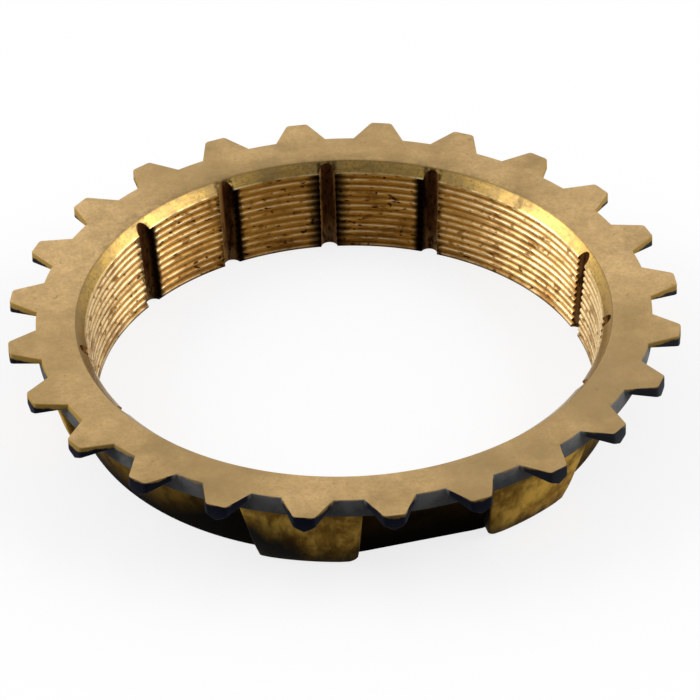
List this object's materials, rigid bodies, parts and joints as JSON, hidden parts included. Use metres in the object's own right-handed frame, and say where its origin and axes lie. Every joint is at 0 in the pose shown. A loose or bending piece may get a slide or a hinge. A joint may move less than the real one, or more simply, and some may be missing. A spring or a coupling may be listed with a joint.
{
  "type": "synchronizer ring",
  "caption": "Brass gearbox ring with stub teeth round its rim, a threaded oil-grooved cone inside and key slots between lugs below, which brakes a gear to the shaft's speed.",
  "frame": {"origin": "on the ring's axis, in the plane of the lower rim that it rests on", "axes": "+Z along the axis towards the flat toothed face; -Y through the middle of one key slot"},
  "size_m": [0.0796, 0.0796, 0.0114],
  "materials": {
    "brass": "satin machined brass, worn and stained with old oil"
  },
  "bodies": {
    "root": {"synchro_ring": "brass"}
  },
  "joints": []
}
